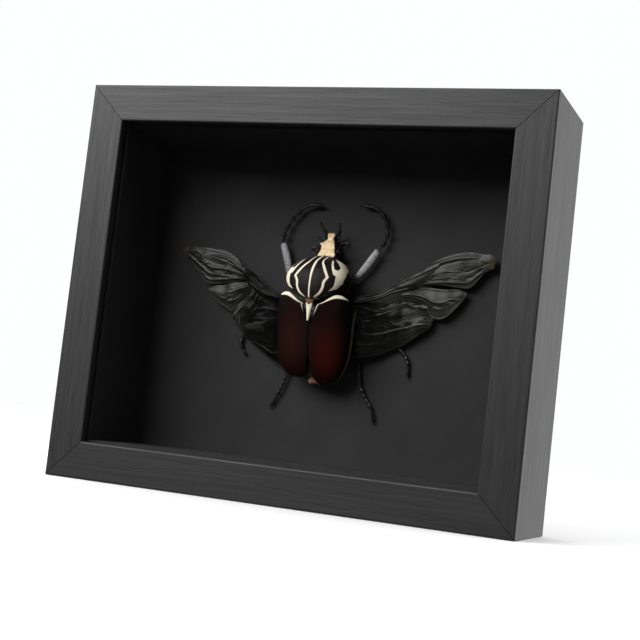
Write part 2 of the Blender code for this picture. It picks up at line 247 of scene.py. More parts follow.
def ramp(tree, value, stops):
    node = addNode(tree, "ValToRGB", {0: value})
    while len(node.color_ramp.elements) < len(stops):
        node.color_ramp.elements.new(0.5)
    for element, (position, colour) in zip(node.color_ramp.elements, stops):
        element.position = position
        element.color = (*colour, 1) if len(colour) == 3 else colour
    return node.outputs[0]


def mapped(tree, value, low, high, toLow=0.0, toHigh=1.0):
    return addNode(tree, "MapRange", {"Value": value, "From Min": low, "From Max": high,
                                      "To Min": toLow, "To Max": toHigh}).outputs[0]


def attribute(tree, name):
    return addNode(tree, "Attribute", attribute_name=name).outputs["Fac"]


def mixed(tree, share, first, second):
    node = addNode(tree, "Mix", data_type="RGBA")
    for index, value in ((0, share), (6, first), (7, second)):
        if isinstance(value, bpy.types.NodeSocket):
            tree.links.new(value, node.inputs[index])
        else:
            node.inputs[index].default_value = value if index == 0 else (*value, 1)
    return node.outputs[2]


def sums(tree, operation, first, second):
    return addNode(tree, "Math", {0: first, 1: second}, operation=operation).outputs[0]


def bump(tree, surface, height, strength, distance):
    node = addNode(tree, "Bump", {"Height": height, "Strength": strength, "Distance": distance})
    tree.links.new(node.outputs[0], surface.inputs["Normal"])


def paint(tree, surface, colour):
    tree.links.new(colour, surface.inputs["Base Color"])


def roughen(tree, surface, roughness):
    tree.links.new(roughness, surface.inputs["Roughness"])


def markShare(tree):  # 1 on a cream mark, 0 off it
    return mapped(tree, attribute(tree, "mark"), -markEdge, markEdge)


wood = {"dark": (0.014, 0.014, 0.014), "light": (0.034, 0.034, 0.034), "worn": (0.054, 0.054, 0.053)}


def stainedWood(name, stretch):  # long grain along the bar, with fine open pores
    material, tree, surface = newMaterial(name, {"Roughness": 0.5, "Specular IOR Level": 0.3})
    grain = noise(tree, placeAt(tree, tuple(9 if s else 420 for s in stretch)), 1, 8, 0.65, 0.4)
    pores = noise(tree, placeAt(tree, tuple(45 if s else 2600 for s in stretch)), 1, 2, 0.5)
    clouds = noise(tree, placeAt(tree, tuple(8 if s else 40 for s in stretch)), 1, 3, 0.5)
    colour = ramp(tree, grain, [(0.25, wood["dark"]), (0.55, wood["light"]), (0.8, wood["worn"])])
    colour = mixed(tree, mapped(tree, pores, 0.42, 0.3), colour, (0.007, 0.007, 0.007))
    colour = mixed(tree, mapped(tree, clouds, 0.3, 0.75, 0, 0.45), colour, wood["light"])
    paint(tree, surface, colour)
    roughen(tree, surface, mapped(tree, grain, 0.3, 0.8, 0.50, 0.36))
    bump(tree, surface, sums(tree, "ADD", grain, sums(tree, "MULTIPLY", mapped(tree, pores, 0.3, 0.45), 0.5)),
         0.2, 0.0004)
    return material


def blackCard():  # matt card with a faint mottle and tooth
    material, tree, surface = newMaterial("blackCard", {"Roughness": 0.92, "Specular IOR Level": 0.25})
    where = placeAt(tree)
    mottle = noise(tree, where, 38, 5, 0.6)
    tooth = noise(tree, where, 2200, 2, 0.5)
    colour = ramp(tree, mottle, [(0.3, (0.027, 0.026, 0.027)), (0.7, (0.034, 0.033, 0.034))])
    colour = mixed(tree, mapped(tree, tooth, 0.62, 0.75, 0, 0.12), colour, (0.055, 0.053, 0.052))
    paint(tree, surface, colour)
    bump(tree, surface, tooth, 0.25, 0.0002)
    return material


def clearGlass():  # coated glass: a low index keeps its reflections down
    material, tree, surface = newMaterial("clearGlass", {
        "Base Color": (1, 1, 1, 1), "Roughness": 0.0, "IOR": 1.08,
        "Transmission Weight": 1.0})
    smears = noise(tree, placeAt(tree), 14, 3)
    roughen(tree, surface, mapped(tree, smears, 0.35, 0.8, 0.0, 0.03))
    return material


def hardboard():  # pressed brown board, flecked with darker fibres
    material, tree, surface = newMaterial("hardboard", {"Roughness": 0.75})
    where = placeAt(tree)
    flecks = noise(tree, where, 900, 5, 0.7)
    clouds = noise(tree, where, 25, 4)
    colour = ramp(tree, flecks, [(0.3, (0.09, 0.045, 0.02)), (0.55, (0.21, 0.12, 0.058)),
                                 (0.75, (0.30, 0.19, 0.10))])
    colour = mixed(tree, mapped(tree, clouds, 0.35, 0.7, 0, 0.5), colour, (0.17, 0.092, 0.042))
    paint(tree, surface, colour)
    bump(tree, surface, flecks, 0.3, 0.0003)
    return material


def zincSteel():
    material, tree, surface = newMaterial("zincSteel", {"Metallic": 1.0})
    where = placeAt(tree)
    spangle = addNode(tree, "TexVoronoi", {"Vector": where, "Scale": 700}).outputs["Color"]
    scratches = noise(tree, placeAt(tree, (60, 900, 900)), 1, 3)
    colour = mixed(tree, mapped(tree, scratches, 0.4, 0.7, 0, 0.6), (0.56, 0.55, 0.52), (0.42, 0.42, 0.41))
    paint(tree, surface, colour)
    roughen(tree, surface, mapped(tree, spangle, 0, 1, 0.28, 0.45))
    return material


cream = {
    "stripe": {"tones": ((0.93, 0.86, 0.72), (0.86, 0.74, 0.54)),
               "spots": 1500, "range": (0.58, 0.75), "most": 0.3},
    "head": {"tones": ((1.0, 0.84, 0.55), (0.86, 0.56, 0.29)),
             "spots": 800, "range": (0.52, 0.68), "most": 0.9},
    "stain": (0.34, 0.19, 0.08),
}


def creamMix(tree, where, part):  # cream with warm clouds and small brown stains
    kind = cream[part]
    clouds = noise(tree, where, 420, 4, 0.6)
    spots = noise(tree, where, kind["spots"], 4, 0.65)
    colour = mixed(tree, mapped(tree, clouds, 0.35, 0.7), *kind["tones"])
    return mixed(tree, mapped(tree, spots, *kind["range"], 0, kind["most"]), colour, cream["stain"])


def shieldCuticle():  # velvety black-brown with the cream marks
    material, tree, surface = newMaterial("shieldCuticle", {
        "Roughness": 0.6, "Sheen Weight": 0.015, "Sheen Roughness": 0.4, "Sheen Tint": (0.6, 0.5, 0.5, 1),
        "Specular IOR Level": 0.14})
    where = placeAt(tree)
    nap = noise(tree, where, 3500, 2, 0.6)
    clouds = noise(tree, where, 260, 3)
    ground = ramp(tree, clouds, [(0.35, (0.006, 0.0042, 0.0046)), (0.7, (0.013, 0.0085, 0.0088))])
    share = markShare(tree)
    colour = mixed(tree, attribute(tree, "tan"), ground, (0.16, 0.075, 0.035))
    paint(tree, surface, mixed(tree, share, colour, creamMix(tree, where, "stripe")))
    roughen(tree, surface, mapped(tree, share, 0, 1, 0.55, 0.7))
    bump(tree, surface, nap, 0.3, 0.0001)
    return material


def wingCaseVelvet(name, ground, glow):  # dark maroon velvet, with a warm painted sheen highlight, painted shade and darker marks, and a tan rim that is partly a painted highlight
    material, tree, surface = newMaterial(name, {
        "Roughness": 0.6, "Sheen Weight": 0.012, "Sheen Roughness": 0.4, "Sheen Tint": (0.8, 0.4, 0.32, 1),
        "Specular IOR Level": 0.06})
    where = placeAt(tree)
    nap = noise(tree, placeAt(tree, (1, 1, 0.35)), 3200, 3, 0.6)
    clouds = noise(tree, where, 150, 4)
    colour = mixed(tree, mapped(tree, clouds, 0.3, 0.75, 0, 0.6), ground, tuple(0.55 * c for c in ground))
    # painted highlight: a warmer, brighter patch that stands in for the velvet's sheen
    colour = mixed(tree, attribute(tree, "glow"), colour, glow)
    # painted shade: near black where the case rolls down at its sides and at its tail; also darker at the
    # shoulder and beside the seam
    colour = mixed(tree, attribute(tree, "dusk"), colour, (0.0050, 0.0045, 0.0042))
    # the tan outer rim: partly the rim bead's own colour, partly a painted highlight along it
    colour = mixed(tree, attribute(tree, "tan"), colour, (0.26, 0.20, 0.14))
    share = markShare(tree)
    paint(tree, surface, mixed(tree, share, colour, creamMix(tree, where, "stripe")))
    bump(tree, surface, nap, 0.25, 0.0001)
    return material


def creamCuticle():  # the head plate: rough cream with brown stains
    material, tree, surface = newMaterial("creamCuticle", {"Roughness": 0.6})
    where = placeAt(tree)
    grain = noise(tree, where, 1800, 4, 0.65)
    colour = creamMix(tree, where, "head")
    colour = mixed(tree, attribute(tree, "tan"), colour, (0.17, 0.08, 0.03))
    paint(tree, surface, colour)
    bump(tree, surface, grain, 0.9, 0.0004)
    return material


def blackChitin():  # hard glossy black, finely pitted
    material, tree, surface = newMaterial("blackChitin", {"Roughness": 0.25, "Specular IOR Level": 0.4,
                                                          "Coat Weight": 0.7, "Coat Roughness": 0.05})
    where = placeAt(tree)
    pits = addNode(tree, "TexVoronoi", {"Vector": where, "Scale": 1900}).outputs["Distance"]
    clouds = noise(tree, where, 300, 3)
    colour = ramp(tree, clouds, [(0.35, (0.004, 0.0036, 0.004)), (0.75, (0.010, 0.008, 0.007))])
    paint(tree, surface, colour)
    roughen(tree, surface, mapped(tree, clouds, 0.3, 0.7, 0.2, 0.3))
    bump(tree, surface, mapped(tree, pits, 0.0, 0.35), 0.1, 0.0001)
    return material


def oliveChitin():  # the belly: dark olive, with a fine down
    material, tree, surface = newMaterial("oliveChitin", {"Roughness": 0.35, "Sheen Weight": 0.2,
                                                          "Sheen Tint": (0.6, 0.5, 0.35, 1)})
    where = placeAt(tree, (1, 1, 3))
    clouds = noise(tree, where, 180, 4)
    down = noise(tree, where, 2600, 2)
    colour = ramp(tree, clouds, [(0.3, (0.010, 0.010, 0.007)), (0.75, (0.034, 0.030, 0.018))])
    paint(tree, surface, colour)
    bump(tree, surface, down, 0.3, 0.0001)
    return material


def greyBloom():  # front shins: black under a silvery bloom
    material, tree, surface = newMaterial("greyBloom", {"Roughness": 0.42, "Specular IOR Level": 0.6})
    where = placeAt(tree)
    bloom = noise(tree, where, 800, 4, 0.65)
    colour = ramp(tree, bloom, [(0.3, (0.08, 0.078, 0.085)), (0.55, (0.24, 0.235, 0.255)),
                                (0.8, (0.44, 0.43, 0.45))])
    colour = mixed(tree, attribute(tree, "tan"), colour, (0.02, 0.018, 0.018))
    paint(tree, surface, colour)
    bump(tree, surface, bloom, 0.3, 0.0002)
    return material


def wingMembrane():  # smoky and glassy, paler in patches, brown at the tips, with painted highlights along creases and rims and painted shade near the body
    material, tree, surface = newMaterial("wingMembrane", {
        "Roughness": 0.26, "Specular IOR Level": 0.28, "Alpha": 0.93})
    where = placeAt(tree)
    crinkle = noise(tree, where, 700, 5, 0.6, 0.6)
    clouds = noise(tree, where, 130, 4, 0.55, 1.4)
    colour = ramp(tree, clouds, [(0.36, (0.0020, 0.0020, 0.0018)), (0.6, (0.018, 0.018, 0.0155))])
    # paler membrane in patches, with a painted highlight along the rims and a painted shine on the outer rear
    # corner
    colour = mixed(tree, attribute(tree, "pale"), colour, (0.085, 0.084, 0.076))
    # painted shade near the body, and a dark spot at the wing's joint
    colour = mixed(tree, attribute(tree, "dusk"), colour, (0.0025, 0.0023, 0.0021))
    # dark lines beside the creases and folds: partly veins, partly painted shade on the flank of each fold
    colour = mixed(tree, attribute(tree, "vein"), colour, (0.0015, 0.0013, 0.0012))
    # painted highlight: bright lines along the crests of the creases and folds
    colour = mixed(tree, attribute(tree, "glow"), colour, (0.20, 0.197, 0.18))
    colour = mixed(tree, attribute(tree, "tan"), colour, (0.085, 0.058, 0.042))
    paint(tree, surface, colour)
    roughen(tree, surface, mapped(tree, attribute(tree, "dusk"), 0, 1, 0.26, 0.12))
    bump(tree, surface, crinkle, 0.3, 0.0003)
    return material


def foxyHair():
    material, tree, surface = newMaterial("foxyHair", {"Roughness": 0.45})
    tint = noise(tree, placeAt(tree), 500, 2)
    colour = ramp(tree, tint, [(0.3, (0.16, 0.06, 0.02)), (0.7, (0.42, 0.19, 0.08))])
    paint(tree, surface, colour)
    return material


finishes = {
    "woodAcross": stainedWood("stainedWoodAcross", (1, 0, 0)), "woodUp": stainedWood("stainedWoodUp", (0, 0, 1)),
    "card": blackCard(), "glass": clearGlass(), "hardboard": hardboard(), "steel": zincSteel(),
    "shield": shieldCuticle(), "head": creamCuticle(), "chitin": blackChitin(), "belly": oliveChitin(),
    "bloom": greyBloom(), "membrane": wingMembrane(), "hair": foxyHair(),
    # the two cases are lit and shaded copies of one velvet: the right's painted highlight is brighter and more
    # orange than the left's
    "caseLeft": wingCaseVelvet("wingCaseVelvetLeft", (0.0085, 0.0024, 0.0020), (0.022, 0.0052, 0.0030)),
    "caseRight": wingCaseVelvet("wingCaseVelvetRight", (0.0090, 0.0022, 0.0020), (0.036, 0.0030, 0.0014)),
}
print("materials ready")


# The frame, its glass and its back keep their CAD shapes and only take a finish.

cadFinishes = {
    "frame_top": "woodAcross", "frame_bottom": "woodAcross", "frame_left": "woodUp", "frame_right": "woodUp",
    "spacer": "card", "backing": "card", "glass": "glass", "rear": "hardboard",
    "sawtooth": "steel", "hanger": "steel", "turn": "steel", "button": "steel",
}

for node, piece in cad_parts.items():
    for start, finish in cadFinishes.items():
        if node.startswith(start):
            for holder in piece.material_slots:
                holder.material = finishes[finish]
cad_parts["glass_pane"].visible_shadow = False  # light reaches the beetle as through real glass
print("frame finished")


# The shield lies over the thorax and carries the cream stripes.

shield = {
    #            z, half width, top, edge, bottom
    "stations": [(30.9, 0.5, 16.5, 14.0, 12.0), (30.4, 6.0, 17.8, 14.5, 10.0), (28.5, 10.3, 22.5, 15.6, 9.0),
                 (25.5, 14.9, 28.0, 17.0, 8.2), (21.0, 18.8, 32.3, 19.0, 8.0), (16.0, 20.8, 34.6, 20.0, 8.2),
                 (11.5, 20.2, 35.2, 20.5, 9.5), (8.0, 18.0, 35.2, 21.0, 11.5), (5.0, 14.0, 34.8, 22.5, 14.0),
                 (2.8, 8.2, 34.2, 24.0, 17.0), (1.8, 1.0, 33.5, 24.0, 22.0)],
    # each stripe is a centre line in x and z, with its half width at each point
    "middle": [(0.0, 30.3, 0.3), (0.1, 26.0, 0.6), (0.0, 21.0, 0.74), (0.0, 12.0, 0.54), (0.0, 1.7, 0.42)],
    "upper": [(3.9, 29.6, 0.25), (4.5, 25.2, 0.5), (6.3, 22.5, 0.66), (8.5, 19.0, 0.74), (10.7, 15.2, 0.74)],
    "lower": [(10.7, 15.2, 0.74), (8.9, 12.1, 0.76), (8.5, 8.9, 0.74), (6.9, 5.5, 0.68), (3.2, 2.3, 0.5)],
    "crescent": [(8.9, 27.4), (10.4, 23.8), (12.2, 20.0), (13.6, 17.2), (15.2, 16.4), (15.2, 13.0), (14.6, 10.0),
                 (11.8, 6.8), (16.2, 8.7), (18.9, 12.4), (19.8, 17.0), (18.9, 21.2), (16.6, 24.5), (13.6, 26.6),
                 (9.6, 28.3), (13.2, 25.3), (15.9, 22.3), (15.3, 20.2), (13.3, 20.8), (11.4, 24.0), (10.3, 26.2)],
    # the hair under the shield's edge: z, half width, height
    "fringe": [(2.8, 8.2, 23), (5, 14, 21.5), (8, 18, 20), (11.5, 20.2, 19.5), (16, 20.8, 19), (21, 19.2, 18),
               (25.5, 15.8, 16.5), (28.5, 11.3, 15)],
    "hairs": 420, "rows": 190, "around": 224,
}


def strokeDepth(x, z, stroke):  # how far inside a stripe, in mm: half width less distance
    line = smoothPath(stroke, 40)
    best = np.full(x.shape, -9.0)
    for start, end in zip(line[:-1], line[1:]):
        way = end[:2] - start[:2]
        share = np.clip(((x - start[0]) * way[0] + (z - start[1]) * way[1]) / (way @ way), 0, 1)
        away = np.hypot(x - start[0] - share * way[0], z - start[1] - share * way[1])
        best = np.maximum(best, start[2] + share * (end[2] - start[2]) - away)
    return best


def patchDepth(x, z, corners):  # how far inside a closed outline, by the nearest edge
    near, inside = np.full(x.shape, 9.0), np.zeros(x.shape, bool)
    for (ax, az), (bx, bz) in zip(corners, corners[1:] + corners[:1]):
        wayX, wayZ = bx - ax, bz - az
        share = np.clip(((x - ax) * wayX + (z - az) * wayZ) / (wayX ** 2 + wayZ ** 2), 0, 1)
        near = np.minimum(near, np.hypot(x - ax - share * wayX, z - az - share * wayZ))
        crosses = (az > z) != (bz > z)
        inside ^= crosses & (x < ax + (z - az) / (wayZ if wayZ else 1e-9) * wayX)
    return np.where(inside, near, -near)


# Cross-sections between the stations: across goes as |cos|^0.8 and height as |sin|^0.85, above
# and below the edge, which crowns the shape and keeps its edge blunt.
def bodyRings(stations, rows, around, bead=0.0):
    stations = np.asarray(stations, float)
    z, half, top, edge, bottom = through(np.arange(len(stations)), stations,
                                         np.linspace(0, len(stations) - 1, rows)).T[..., None]
    turn = np.linspace(0, 2 * math.pi, around, endpoint=False)[None]
    across, up = np.cos(turn), np.sin(turn)
    x = half * np.sign(across) * np.abs(across) ** 0.8 * (1 + bead * np.exp(-(up / 0.07) ** 2))
    rise = np.abs(up) ** 0.85
    height = np.where(up > 0, edge + (top - edge) * rise, edge - (edge - bottom) * rise)
    return np.stack([x, z + 0 * x, height], axis=-1), up + 0 * x


def makeShield():
    rings, up = bodyRings(shield["stations"], shield["rows"], shield["around"], bead=0.012)
    x, z = np.abs(rings[..., 0]), rings[..., 1]
    mark = np.maximum.reduce([strokeDepth(x, z, shield[part]) for part in ("middle", "upper", "lower")]
                             + [patchDepth(x, z, shield["crescent"])])
    mark = np.where(up > 0.02, mark, -2.0)
    tan = 0.75 * step(0.9, -0.6, z - 2.6 + x * 0.05) * (up > 0.1) * bell(x, 0, 5)
    rings[..., 2] += 0.07 * step(-0.2, 0.3, mark)
    values = {"mark": mark, "tan": tan}
    parts = [solid(rings, values)]
    count = shield["hairs"]  # a fringe of short brown hair under the edge
    side = rng.choice([-1.0, 1.0], count)
    along = rng.uniform(3.2, 26, count)
    knots = np.array(shield["fringe"])
    half, low = through(knots[:, 0], knots[:, 1:], along).T
    roots = np.stack([side * (half - 0.5), along, low], axis=1)
    ways = np.stack([side * rng.uniform(0.6, 1.1, count), rng.normal(-0.45, 0.3, count),
                     rng.normal(-0.8, 0.25, count)], axis=1)
    parts.append(hairs(roots, ways, rng.uniform(0.9, 1.8, count), 0.05, finish=1))
    makePiece("pronotumShield", parts, [finishes["shield"], finishes["hair"]], ["pronotum"])


makeShield()
print("shield made")


# The two wing cases, and the little triangle between them, close over the belly.

wingCase = {
    #            z,   outer, inner, top, edge
    "stations": [(0.0, 24.6, 5.3, 31.6, 14.0), (-2.5, 25.2, 4.4, 31.2, 13.4), (-6.0, 25.2, 3.1, 30.6, 13.0),
                 (-10.5, 24.8, 1.3, 29.8, 13.0), (-14.0, 24.5, 0.35, 29.1, 13.0), (-20.0, 24.1, 0.35, 27.9, 13.0),
                 (-26.0, 23.6, 0.4, 26.6, 13.0), (-32.0, 22.8, 0.6, 25.0, 12.8), (-38.0, 21.2, 1.1, 22.9, 12.6),
                 (-43.0, 19.0, 1.8, 20.4, 12.6), (-46.5, 16.4, 2.9, 18.2, 12.8), (-48.8, 12.8, 4.8, 16.0, 13.4),
                 (-49.6, 9.2, 6.8, 14.6, 13.8)],
    # how far the front edge bows forward, by the angle round from the seam
    "arch": ([0, 6, 18, 29, 41, 55, 69, 90], [-1.6, -0.5, 2.5, 4.7, 5.0, 3.9, 2.0, -0.4]),
    # how deep the cream band runs back from the front edge, by x
    "band": ([0, 5.6, 8, 11, 15, 19, 21, 22.4, 23.4, 26], [0.2, 0.35, 0.85, 1.3, 1.5, 1.3, 0.85, 0.2, -0.6, -1]),
    "thickness": 0.7, "rows": 150, "columns": 120,
    # the painted sheen highlight as x, z and its widths; how much wider the case is at a z; how short its rear
    # part is
    "left": {"glow": (11.5, -28.0, 8.0, 17.0), "swell": (0.099, -42, 9), "shrink": 0.89},
    "right": {"glow": (12.5, -33.0, 9.0, 16.0), "swell": (-0.05, -8, 12), "shrink": 1.0},
}


# Across from the suture: x goes as sin^0.9 and height as cos^0.55, which gives a flat top and a
# rounded shoulder. The front edge bows forward and rolls down.
def wingCaseGrid():
    rows, columns = wingCase["rows"], wingCase["columns"]
    stations = np.array(wingCase["stations"])
    share = np.linspace(0, 1, rows) ** 1.15
    run, outer, inner, top, edge = through(np.arange(len(stations)), stations,
                                           share * (len(stations) - 1)).T[..., None]
    turn = math.pi / 2 * (1 - (1 - np.linspace(0, 1, columns)) ** 1.7)[None]
    arch = through(np.radians(wingCase["arch"][0]), wingCase["arch"][1], turn)
    over, rise = np.sin(turn) ** 0.9, np.cos(turn) ** 0.55
    x = inner + (outer - inner) * over
    z = run + arch * np.maximum(0, 1 + run / 20) ** 2
    height = edge + (top - edge) * rise
    height = height - 1.8 * np.clip(1 + run / 2.6, 0, 1) ** 2 * rise
    height = height + 0.7 * bell(x, 19.5, 2.6) * bell(z, -3, 4) + 0.5 * bell(x, 12, 3) * bell(z, -42, 3)
    height = height - 0.35 * bell(x, inner + 0.2, 0.8) * (run < -9)
    return np.stack([x + 0 * z, z + 0 * x, height + 0 * z], axis=-1), run + 0 * x, inner + 0 * x, turn + 0 * x


def makeWingCase(side, way):
    grid, run, inner, turn = wingCaseGrid()
    swell, at, width = wingCase[side]["swell"]
    x = grid[..., 0] * (1 + swell * bell(grid[..., 1], at, width))
    z = np.where(grid[..., 1] < -20, -20 + (grid[..., 1] + 20) * wingCase[side]["shrink"], grid[..., 1])
    band = np.interp(x, *wingCase["band"]) + run
    line = 0.26 * step(-9.5, -3, z) + 0.04 - np.abs(x - inner - 0.5)
    line = np.where((z > -9.5) & (run < 0.5), line, -1)
    mark = np.maximum(band, line)
    # painted highlight: the velvet's sheen painted in as a warm patch, placed differently on each case
    highlightX, highlightZ, highlightWide, highlightLong = wingCase[side]["glow"]
    glow = bell(x, highlightX, highlightWide) * bell(z, highlightZ, highlightLong)
    # painted shade where the case rolls down at its sides and at its tail, and a darker tone at the shoulder and
    # beside the seam
    dusk = np.clip(step(1.0, 1.35, turn) + 0.7 * bell(x, 20, 4) * bell(z, -2, 7) + 0.3 * step(-44, -50, z)
                   + 0.6 * step(3.0, 0.2, x - inner) * (z < -6), 0, 1)
    # the tan outer rim, partly its own colour and partly a painted highlight where the rim catches light
    tan = 0.9 * step(1.46, 1.55, turn) * step(1, -6, z)
    part = shell(np.stack([x * way, z, grid[..., 2]], axis=-1), wingCase["thickness"],
                 {"mark": mark, "glow": glow, "dusk": dusk, "tan": tan})
    makePiece("wingCase" + side.capitalize(), [part], [finishes["case" + side.capitalize()]],
              ["elytron_" + side])


def makeScutellum():  # a brown-fronted cream triangle, slightly crowned
    down, over = np.meshgrid(np.linspace(0, 1, 60), np.linspace(-1, 1, 41), indexing="ij")
    z = 1.2 - 13.2 * down
    half = np.interp(z, [-12.0, -2.0, 1.2], [0.2, 1.9, 3.3])
    x = half * over
    height = np.interp(z, [-12.0, 1.2], [31.6, 32.3]) - 0.5 * over ** 2 - 0.8 * np.clip(z, 0, 2) ** 2 / 2
    cover = np.minimum(half * (1 - np.abs(over)) - 0.15, -1.2 - z - 0.8 * (np.abs(over) < 0.45)) + 0.1 * (z < -9)
    tan = step(-3.2, -0.5, z) * step(1.0, 0.55, np.abs(over))
    makePiece("scutellumPlate", [shell(np.stack([x, z, height], axis=-1), 0.9, {"mark": cover, "tan": tan})],
              [finishes["shield"]], ["scutellum"])


makeWingCase("left", -1)
makeWingCase("right", 1)
makeScutellum()
print("wing cases made")


# The thorax and belly fill the space under the wing cases.

trunk = {
    "thorax": [(3.0, 9.0, 19.0, 10.0, 5.0), (2.0, 14.0, 21.0, 10.0, 4.0), (-3.0, 19.0, 24.0, 10.0, 1.2),
               (-10.0, 21.2, 24.0, 10.0, 0.3), (-17.0, 21.8, 22.5, 10.0, 0.3), (-21.8, 21.5, 20.5, 9.5, 1.0)],
    "belly": [(-22.2, 21.3, 20.2, 9.5, 1.2), (-28.0, 21.2, 20.0, 9.5, 1.5), (-34.0, 19.5, 19.0, 9.5, 2.2),
              (-40.0, 16.0, 17.0, 9.5, 3.5), (-45.0, 10.5, 14.5, 9.8, 5.5), (-47.5, 5.5, 12.8, 10.2, 7.5),
              (-48.4, 1.0, 11.6, 10.4, 9.5)],
    "seams": [-25.5, -29.5, -33.5, -37.5, -41.5, -45.0],
}


def makeTrunk():
    rings = bodyRings(trunk["thorax"], 60, 96)[0]
    middle = rings.mean(axis=1, keepdims=True)
    groove = 1 - 0.02 * bell(rings[..., 1], -6, 0.7) - 0.02 * bell(rings[..., 1], -14.5, 0.6)
    rings = middle + (rings - middle) * groove[..., None]
    makePiece("thoraxBody", [solid(rings)], [finishes["belly"]], ["thorax"])

    rings = bodyRings(trunk["belly"], 150, 128)[0]  # each ring of the belly laps over the next
    middle = rings.mean(axis=1, keepdims=True)
    lap = np.zeros(rings.shape[:2])
    for seam in trunk["seams"]:
        past = seam - rings[..., 1]
        lap += 0.035 * step(-3.2, 0, past) * (past < 0) - 0.02 * bell(past, 0.15, 0.25)
    rings = middle + (rings - middle) * (0.965 + lap)[..., None]
    parts = [solid(rings)]
    count = 260  # the foxy tuft at the tail
    roots = np.stack([rng.normal(1.0, 1.6, count), rng.uniform(-47.8, -45.6, count),
                      rng.uniform(11, 14.2, count)], axis=1)
    ways = np.stack([rng.normal(0.05, 0.3, count), rng.normal(-1, 0.15, count),
                     rng.normal(0.15, 0.3, count)], axis=1)
    parts.append(hairs(roots, ways, rng.uniform(1.5, 3.4, count), 0.09, finish=1))
    makePiece("bellyBody", parts, [finishes["belly"], finishes["hair"]], ["abdomen"])


makeTrunk()
print("trunk made")


# The head carries the forked horn, the eyes and the feelers.

head = {
    #         z, left and right edges, top
    "plate": [(30.0, -4.6, 5.6, 15.6), (31.5, -5.2, 6.3, 15.0), (34.0, -4.6, 5.2, 13.4), (36.5, -4.4, 4.5, 12.2),
              (38.2, -4.9, 4.1, 11.5), (39.3, -6.1, 3.9, 11.4), (39.9, -4.9, 3.5, 10.8), (41.0, -3.3, 2.9, 10.0),
              (42.4, -2.1, 2.1, 9.6), (43.8, -1.9, 2.1, 9.5), (45.2, -2.1, 3.1, 9.6), (46.3, -1.8, 2.9, 9.4),
              (46.9, -0.6, 1.9, 9.0)],
    "prong": [(3.2, 45.2, 5.8), (4.2, 46.6, 6.2), (5.2, 48.6, 7.8), (5.9, 50.6, 10.2), (6.4, 52.3, 12.4)],
    "feeler": [(6.2, 37.0, 9.5), (8.0, 39.0, 10.8), (9.6, 40.2, 11.5), (10.8, 40.2, 11.7)],
    "club": [(10.8, 40.2, 11.7), (12.4, 39.8, 11.7), (13.9, 39.2, 11.6), (15.0, 38.8, 11.4)],
    # short mouth feelers: start, end, half thickness
    "palps": [((5.4, 40.4, 6.4), (7.8, 43.2, 7.4), 0.55), ((7.8, 43.2, 7.4), (9.4, 42.6, 8.2), 0.5),
              ((3.6, 42.8, 5.2), (5.6, 45.2, 5.6), 0.45)],
}


# The plate's section is flat on top with raised side ridges, and its surface is gently lumpy.
def makeHead():
    stations = np.array(head["plate"])
    rows, around = 90, 72
    z, left, right, top = through(np.arange(len(stations)), stations,
                                  np.linspace(0, len(stations) - 1, rows)).T[..., None]
    half, centre = (right - left) / 2, (right + left) / 2
    turn = np.linspace(0, 2 * math.pi, around, endpoint=False)[None]
    across, up = np.sign(np.cos(turn)) * np.abs(np.cos(turn)) ** 0.6, np.sin(turn)
    deep = np.where(up > 0, 0.9, 1.3)
    ridge = 0.55 * np.abs(across) ** 3 * (up > 0) * step(1.5, 4, half)
    height = top - 1.0 + deep * np.sign(up) * np.abs(up) ** 0.6 + ridge
    lumps = (np.sin(1.9 * z + 2.3 * across * half) * np.sin(2.7 * across * half + 0.8 * z + 1.3)
             + 0.6 * np.sin(4.1 * z - 1.0) * np.sin(5.2 * across * half + 0.5))
    rings = np.stack([centre + across * half + 0.14 * lumps, z + 0 * across, height + 0.26 * lumps], axis=-1)
    tan = np.clip(0.9 * step(-0.05, -0.35, up + 0 * z) + 0.85 * step(46.0, 46.6, z + 0 * up)
                  + 0.5 * step(0.2, 1.0, lumps) * step(38, 44, z), 0, 1)
    parts = [solid(rings, {"tan": tan})]
    low = smoothPath([(0, 30.8, 10.0), (0, 34.0, 9.2), (0, 38.0, 7.6), (0, 42.0, 6.4), (0, 45.6, 5.8)], 40)
    wide = through([0, 0.25, 0.55, 0.8, 1], [6.4, 6.9, 5.0, 3.6, 3.0], np.linspace(0, 1, 40))
    deep = through([0, 0.5, 1], [3.6, 2.6, 1.6], np.linspace(0, 1, 40))
    parts.append(limb(low, wide, deep, sides=48, finish=1))
    for way in (-1, 1):
        flip = np.array([way, 1, 1])
        parts.append(ball(np.array([7.0, 34.4, 10.4]) * flip, (1.9, 2.1, 1.9), finish=1))
        prong = smoothPath(np.array(head["prong"]) * flip, 30)
        along = np.linspace(0, 1, 30)
        parts.append(limb(prong, through([0, 0.6, 1], [1.25, 1.1, 0.8], along),
                          through([0, 0.6, 1], [0.7, 0.62, 0.5], along), sides=16, finish=1))
        for start, end, width in head["palps"]:
            run = smoothPath(np.array([start, (np.array(start) + end) / 2 + (0.2, 0.1, 0.2), end]) * flip, 14)
            parts.append(limb(run, width * np.sin(np.linspace(0.35, 2.8, 14)) ** 0.4, sides=10, finish=1))
    makePiece("headPlate", parts, [finishes["head"], finishes["chitin"]], ["head"])


